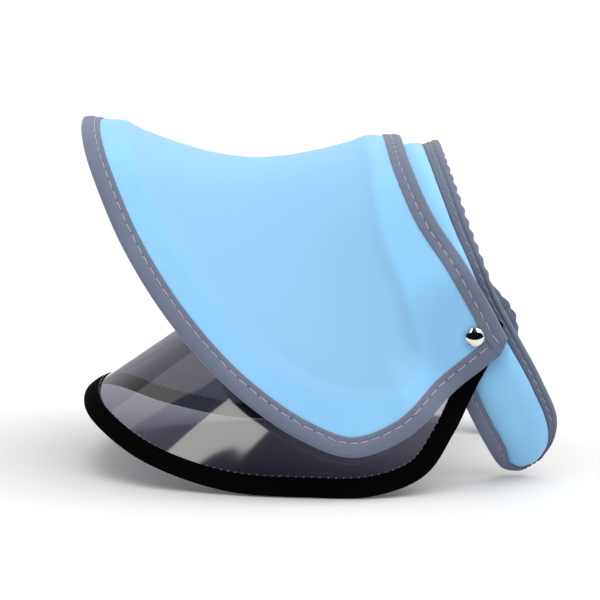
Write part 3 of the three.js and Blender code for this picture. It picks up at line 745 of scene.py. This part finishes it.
outline = np.vstack([seam.place(0, 0)[:, 0] for seam in (front_seam, rear_seam, *end_seams)])
outline_width = np.concatenate([TAPE_WIDTH * front_widths, TAPE_WIDTH * rear_widths,
                                *[np.full(seam.count, 0.5) for seam in end_seams]])


def band_puff(u, v):
    """The padding's swell, rounded up from the tapes' inner borders and pressed flat round the rivets."""
    surface = BAND.point(u, v)
    flat = surface.reshape(-1, 3)
    inside = np.concatenate([
        np.min(np.linalg.norm(part[:, None] - outline[None], axis=-1) - outline_width, axis=1)
        for part in np.array_split(flat, 80)]).reshape(u.shape)
    from_pivot = np.hypot(surface[..., 1] - PIVOT_Y, surface[..., 2] - PIVOT_Z)
    plump = np.sqrt(1 - (1 - np.clip(inside / PUFF_ROUNDING, 0, 1)) ** 2)
    return BAND_PUFF * plump * smoothstep(from_pivot, FLAT_R, PUFFED_R)


def band_columns(us, count):
    """Columns across the band, drawn in where its ends' corners are rounded."""
    from_end = np.clip(np.minimum(us, 1 - us) / CORNER_U, 0, 1)
    rounding = np.sqrt(1 - (1 - from_end) ** 2)
    return columns(BAND.inset(us, 0, EDGE_INSET) + 0.1 * (1 - rounding),
                   BAND.inset(us, 1, EDGE_INSET) - CORNER_V * (1 - rounding), count)


# The stations crowd together towards the rounded ends.
end_us = 0.5 * (1 - np.cos(np.linspace(0, np.pi / 2, 14)[:-1])) * 0.06
us = np.concatenate([0.0005 + end_us, np.linspace(0.031, 0.969, 380), 0.9995 - end_us[::-1]])
vs = band_columns(us, 64)
puff = band_puff(*np.broadcast_arrays(us[:, None], vs))
pad = cloth("band_pad", BAND, us, vs, BAND_FACE + puff, BAND_FACE - FABRIC + puff, LIT_PAD_BLUE, "band",
            ["band_cover"])
band_lining = cloth("band_inside", BAND, us, band_columns(us, 24), FABRIC - BAND_FACE, -BAND_FACE, LINING,
                    "band", ["band_lining"])


def foam_stations(low, high):
    us = np.linspace(low, high, max(12, int((high - low) * 300)))
    vs = columns(BAND.border(us, 0), BAND.border(us, 1), 13)[:, 2:-2]
    return us, vs, band_puff(*np.broadcast_arrays(us[:, None], vs))


for node, low, high in (("foam_crest_pad", 0.25, 0.75), ("foam_end_pad_left", 0.04, 0.14),
                        ("foam_end_pad_right", 0.86, 0.96)):
    us, vs, puff = foam_stations(low, high)
    foam = cloth(node.replace("pad", "block"), BAND, us, vs, 0.55 + 0.9 * puff, 0.45, SPONGE, "band",
                 [node])
us, vs, _ = foam_stations(0.04, 0.96)
cloth("spring_strip", BAND, us, vs, BOARD_FACE, -BOARD_FACE, SPRING, "band",
      ["band_spring"])


def cord_along(name, points, normals, radius, material, body):
    """A thin round cord through points."""
    tangents = unit(np.gradient(points, axis=0))
    across = unit(np.cross(normals, tangents))
    ring = np.linspace(0, 2 * np.pi, THREAD_SIDES, endpoint=False)
    tube = points[:, None] + radius * (
        normals[:, None] * np.sin(ring)[None, :, None] + across[:, None] * np.cos(ring)[None, :, None])
    return make(name, tube, ring_faces(len(points), THREAD_SIDES), material, body)


# A thin dark cord along the pad's border with the rear tape: painted shadow standing in for the shade in the
# seam between them.
line = rear_seam.place(TAPE_WIDTH * rear_widths + 0.05, BAND_TAPE_FACE - 0.1)[:, 0]
line_normals = unit(rear_seam.place(TAPE_WIDTH * rear_widths, BAND_TAPE_FACE + 1)[:, 0] - line)
cord_along("rear_seam_shadow", line, line_normals, 0.24, SEAM_SHADOW, "band")

# The dark edge of the lining that shows round the band's lower ends.
SCALLOP, SCALLOPS = 0.75, 3.5
for side, seam in zip(("left", "right"), end_seams):
    scallop = SCALLOP * (1 + np.abs(np.sin(seam.s / seam.length * np.pi * SCALLOPS)))
    profile = np.array([(1.5, -0.9), (0.0, -0.9), (-1.0, -0.5), (-1.0, 0.1), (0.0, 0.5), (1.5, 0.5)])
    d = np.where(profile[None, :, 0] < 0, -scallop[:, None], profile[None, :, 0])
    h = np.repeat(profile[None, :, 1], seam.count, 0)
    make("end_edging_" + side, seam.place(d, h), ring_faces(seam.count, len(profile)), LINING, "band")

# ---------------------------------------------------------------- the gathers behind the temples

GATHER_FROM, GATHER_SPAN = 0.175, 0.07
GATHER_FOLDS, GATHER_DEPTH, GATHER_OVERLAP = 4, 4.2, 3.0
FOLD_HEIGHT, GATHER_SINK, GATHER_DROOP = 1.7, 1.6, 0.9
for side, start in (("left", GATHER_FROM), ("right", 1 - GATHER_FROM - GATHER_SPAN)):
    us = np.linspace(start, start + GATHER_SPAN, 120)
    run = np.clip((us - start) / GATHER_SPAN, 0, 1)
    if side == "right":
        run = 1 - run
    q = np.linspace(0, 1, 18)
    lobes = 0.72 + 0.28 * np.abs(np.sin(GATHER_FOLDS * np.pi * run + 0.25)) ** 0.7
    depth = GATHER_DEPTH * np.sin(np.pi * (0.02 + 0.97 * run ** 0.9)) ** 1.2 * lobes
    inset = GATHER_OVERLAP - q[None] * (GATHER_OVERLAP + depth[:, None])
    vs = BAND.inset(us, 0, 1.0)[:, None] * inset
    fold = FOLD_HEIGHT * np.sin(2 * np.pi * GATHER_FOLDS * run[:, None] - 2.4 * q[None]) * q[None] ** 0.6
    height = fold - GATHER_SINK - GATHER_DROOP * q[None] ** 2
    gather = cloth("gather_" + side, BAND, us, vs, height + FABRIC / 2, height - FABRIC / 2, GREY, "band",
                   ["rear_gather_" + side])

# ---------------------------------------------------------------- the rivets

CAP_R, NECK_R, SHANK_R = 4.5, 3.4, 1.5
CAP_BASE = BRIM.ear_x + BRIM_TAPE_FACE + 0.2
CAP_TOP = CAP_BASE + 2.9
DOME_R, DOME_SLOPE = 6.6, math.radians(40)
dome_foot = CAP_TOP - DOME_R * (1 - math.cos(DOME_SLOPE))
dome = [(DOME_R * math.sin(a), CAP_TOP - DOME_R * (1 - math.cos(a)))
        for a in np.linspace(DOME_SLOPE, 0.003, 16)]
edge_r = CAP_R - DOME_R * math.sin(DOME_SLOPE)
neck_x = BRIM.ear_x + 1.5
cap = [(SHANK_R, BAND.ear_x - BAND_FACE), (SHANK_R, neck_x), (NECK_R, neck_x), (NECK_R, CAP_BASE),
       (CAP_R - 0.2, CAP_BASE), (CAP_R - 0.05, CAP_BASE + 0.1), (CAP_R, dome_foot - 0.45),
       (CAP_R - 0.3 * edge_r, dome_foot - 0.15), *dome]
BACK_X = 71.4
back = [(0.01, BACK_X), (CAP_R - 0.6, BACK_X), (CAP_R - 0.2, BACK_X + 0.15), (CAP_R, BACK_X + 0.4),
        (CAP_R, BACK_X + 0.75), (CAP_R - 0.2, BACK_X + 0.8), (0.01, BACK_X + 0.8)]
for side, sign in (("left", 1), ("right", -1)):
    turned("rivet_cap_" + side, cap, NICKEL, "band", ["rivet_" + side], sign)
    turned("rivet_clench_" + side, back, NICKEL, "band", ["rivet_back_" + side], sign)

# ---------------------------------------------------------------- the stage, lights and camera

stage_floor = Shader("pale_floor")
place = stage_floor.node("TexCoord").outputs["Object"]
floor_colour = stage_floor.mixed(stage_floor.noise(place, 3.0), (0.72, 0.72, 0.72, 1), (0.74, 0.74, 0.74, 1))
floor_look = stage_floor.node("BsdfPrincipled", {"Base Color": floor_colour, "Roughness": 0.8})
FLOOR = stage_floor.finish(floor_look.outputs[0])


def card(name, corners, material):
    mesh = bpy.data.meshes.new(name)
    mesh.from_pydata(corners, [], [(0, 1, 2, 3)])
    mesh.materials.append(material)
    obj = bpy.data.objects.new(name, mesh)
    bpy.context.collection.objects.link(obj)
    return obj


card("floor", [(-6, -6, 0), (6, -6, 0), (6, 6, 0), (-6, 6, 0)], FLOOR)


sun_data = bpy.data.lights.new("sky_softbox", "SUN")
sun_data.energy = 2.0
sun_data.angle = math.radians(70)
sun = bpy.data.objects.new("sky_softbox", sun_data)
sun.rotation_euler = (math.radians(-14), math.radians(16), 0)
bpy.context.collection.objects.link(sun)


def glow(name, colour, strength):
    s = Shader(name)
    return s.finish(s.node("Emission", {"Color": colour, "Strength": strength}).outputs[0])


def hide(obj, dull=False):
    """Let only shiny surfaces see a card, as a photographer's black flag or strip light, or only dull ones
    if dull."""
    obj.visible_camera = False
    obj.visible_diffuse = dull
    obj.visible_glossy = not dull
    obj.visible_transmission = False
    obj.visible_volume_scatter = False
    obj.visible_shadow = False


def upright_card(name, x, y_span, z_span, material, dull=False):
    (low_y, high_y), (low_z, high_z) = y_span, z_span
    corners = [(x, low_y, low_z), (x, high_y, low_z), (x, high_y, high_z), (x, low_y, high_z)]
    hide(card(name, corners, material), dull)


ROOM_X, WALL_Y = 2.0, 9.0
DARK_TOP = 1.7
STRIP_Y = (-2.05, -1.16)
TABLE_EDGE_X, TABLE_Z = 0.22, 0.003
FLAG = glow("dark_room", (0.004, 0.006, 0.02, 1), 1.0)
WALL = glow("dim_wall", (0.30, 0.33, 0.45, 1), 1.0)
GREY_WALL = glow("grey_wall", (0.42, 0.43, 0.46, 1), 1.0)
DIM_ROOM = glow("dim_room", (0.5, 0.5, 0.5, 1), 1.0)
STRIP = glow("strip_light", (1.0, 0.97, 0.93, 1), 3.6)
table_corners = [(x, y, TABLE_Z) for x, y in ((TABLE_EDGE_X, -WALL_Y), (ROOM_X, -WALL_Y), (ROOM_X, WALL_Y),
                                              (TABLE_EDGE_X, WALL_Y))]
hide(card("table_edge", table_corners, FLAG))
upright_card("dark_low", ROOM_X, (-WALL_Y, WALL_Y), (0, DARK_TOP), FLAG)
upright_card("dim_room", ROOM_X + 0.1, (-WALL_Y, WALL_Y), (0, DARK_TOP), DIM_ROOM, dull=True)
upright_card("dark_middle", ROOM_X, (STRIP_Y[1], 1.1), (DARK_TOP, 8.0), FLAG)
upright_card("strip_light", ROOM_X, STRIP_Y, (DARK_TOP, 4.4), STRIP)
upright_card("dim_wall", ROOM_X, (-WALL_Y, STRIP_Y[0]), (DARK_TOP, WALL_Y), WALL)
upright_card("grey_wall", -ROOM_X, (-6.0, -0.3), (0, 4.0), GREY_WALL)

world = bpy.data.worlds.new("studio")
world.use_nodes = True
world.node_tree.nodes["Background"].inputs[0].default_value = (1, 1, 1, 1)
world.node_tree.nodes["Background"].inputs[1].default_value = 1.0
bpy.context.scene.world = world
bpy.context.scene.view_settings.view_transform = "Standard"

camera_data = bpy.data.cameras.new("camera")
camera_data.lens = 114
camera_data.sensor_width = 36
camera = bpy.data.objects.new("camera", camera_data)
target = Vector(to_row([(0, 0, 83)])[0])
elevation = math.radians(7)
camera.location = target + Vector((math.cos(elevation), 0, math.sin(elevation)))
camera.rotation_euler = (target - camera.location).to_track_quat("-Z", "Y").to_euler()
bpy.context.collection.objects.link(camera)
bpy.context.scene.camera = camera
